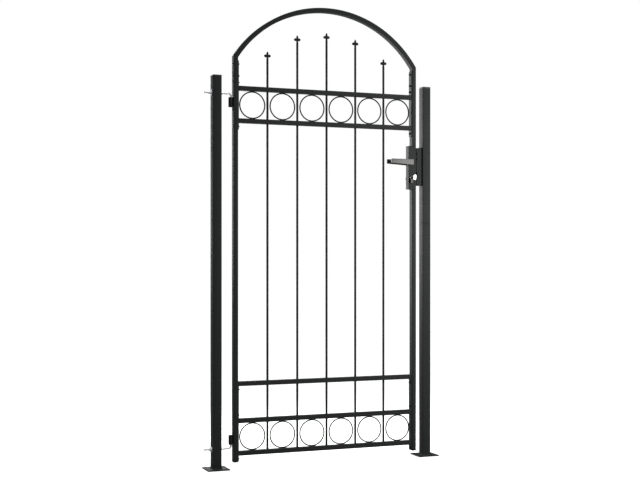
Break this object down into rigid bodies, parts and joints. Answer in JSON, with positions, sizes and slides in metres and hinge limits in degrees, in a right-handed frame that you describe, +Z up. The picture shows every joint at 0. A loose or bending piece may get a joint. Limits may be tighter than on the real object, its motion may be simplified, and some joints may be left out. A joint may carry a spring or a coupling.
{
  "type": "garden gate",
  "caption": "Arched garden gate leaf of powder-coated tube, round bars and rings, hung on hook bolts between two square posts on base plates, with a lever lock.",
  "frame": {"origin": "on the ground, midway between the two posts, at the centre of the rectangle of the four outermost anchor holes", "axes": "+Z up, +X from the hinge post to the lock post, -Y towards the front, the side where the key is"},
  "size_m": [1.116, 0.12, 2.04],
  "materials": {
    "powder_coat": "satin",
    "black_plastic": "matte",
    "black_steel": "satin",
    "zinc_steel": "bright",
    "lever_grey": "satin",
    "nickel": "polished"
  },
  "bodies": {
    "posts": {"hinge_base_plate": "powder_coat", "hinge_post_lower": "powder_coat", "hinge_post_upper": "powder_coat", "hinge_post_sleeve": "powder_coat", "hinge_post_cap": "black_plastic", "lock_base_plate": "powder_coat", "lock_post_lower": "powder_coat", "lock_post_upper": "powder_coat", "lock_post_sleeve": "powder_coat", "lock_post_cap": "black_plastic", "upper_hook_bolt": "zinc_steel", "lower_hook_bolt": "zinc_steel", "hook_washers": "zinc_steel", "hook_nuts": "zinc_steel", "keep": "powder_coat", "keep_screws": "black_steel"},
    "leaf": {"upper_hinge_barrel": "powder_coat", "lower_hinge_barrel": "powder_coat", "hinge_stile": "powder_coat", "latch_stile_lower": "powder_coat", "latch_stile_upper": "powder_coat", "stile_foot_plugs": "black_plastic", "arch": "powder_coat", "arch_connectors": "powder_coat", "rail_1": "powder_coat", "rail_2": "powder_coat", "rail_3": "powder_coat", "rail_4": "powder_coat", "rail_5": "powder_coat", "upper_end_strips": "powder_coat", "lower_end_strips": "powder_coat", "bar_1": "powder_coat", "bar_2": "powder_coat", "bar_3": "powder_coat", "bar_4": "powder_coat", "bar_5": "powder_coat", "finials": "powder_coat", "upper_rings": "powder_coat", "lower_rings": "powder_coat", "panel_bolts": "black_steel", "panel_dome_nuts": "black_steel", "lock_box": "powder_coat", "lock_forend": "zinc_steel", "forend_screws": "zinc_steel", "cylinder_body": "nickel", "cylinder_screw": "zinc_steel", "follower_spring": "zinc_steel"},
    "lever": {"lock_follower": "zinc_steel", "lever_spindle": "zinc_steel", "front_lever": "lever_grey", "rear_lever": "lever_grey"},
    "latch": {"latch_bolt": "zinc_steel"},
    "key_plug": {"cylinder_plug": "nickel", "cylinder_cam": "zinc_steel", "key": "nickel"},
    "deadbolt": {"deadbolt": "zinc_steel"}
  },
  "joints": [
    {"name": "gate_swing", "type": "hinge", "parent": "posts", "child": "leaf", "pos_m": [-0.439, 0, 0.088], "axis": [0, 0, -1], "range_deg": [0, 100]},
    {"name": "lever_turn", "type": "hinge", "parent": "leaf", "child": "lever", "pos_m": [0.427, 0, 1.36], "axis": [0, -1, 0], "range_deg": [0, 40], "stiffness_Nm_per_rad": 0.6, "springref_deg": -45.84, "deforming": ["follower_spring"]},
    {"name": "latch_slide", "type": "slide", "parent": "leaf", "child": "latch", "axis": [-1, 0, 0], "range_m": [0, 0.0105]},
    {"name": "key_turn", "type": "hinge", "parent": "leaf", "child": "key_plug", "pos_m": [0.427, 0, 1.288], "axis": [0, 1, 0], "range_deg": [0, 360]},
    {"name": "deadbolt_throw", "type": "slide", "parent": "leaf", "child": "deadbolt", "axis": [1, 0, 0], "range_m": [0, 0.012]}
  ],
  "couplings": [
    {"joint": "latch_slide", "follows": "lever_turn", "m_per_rad": 0.015},
    {"joint": "key_turn", "follows": "deadbolt_throw", "rad_per_m": 523.5}
  ]
}
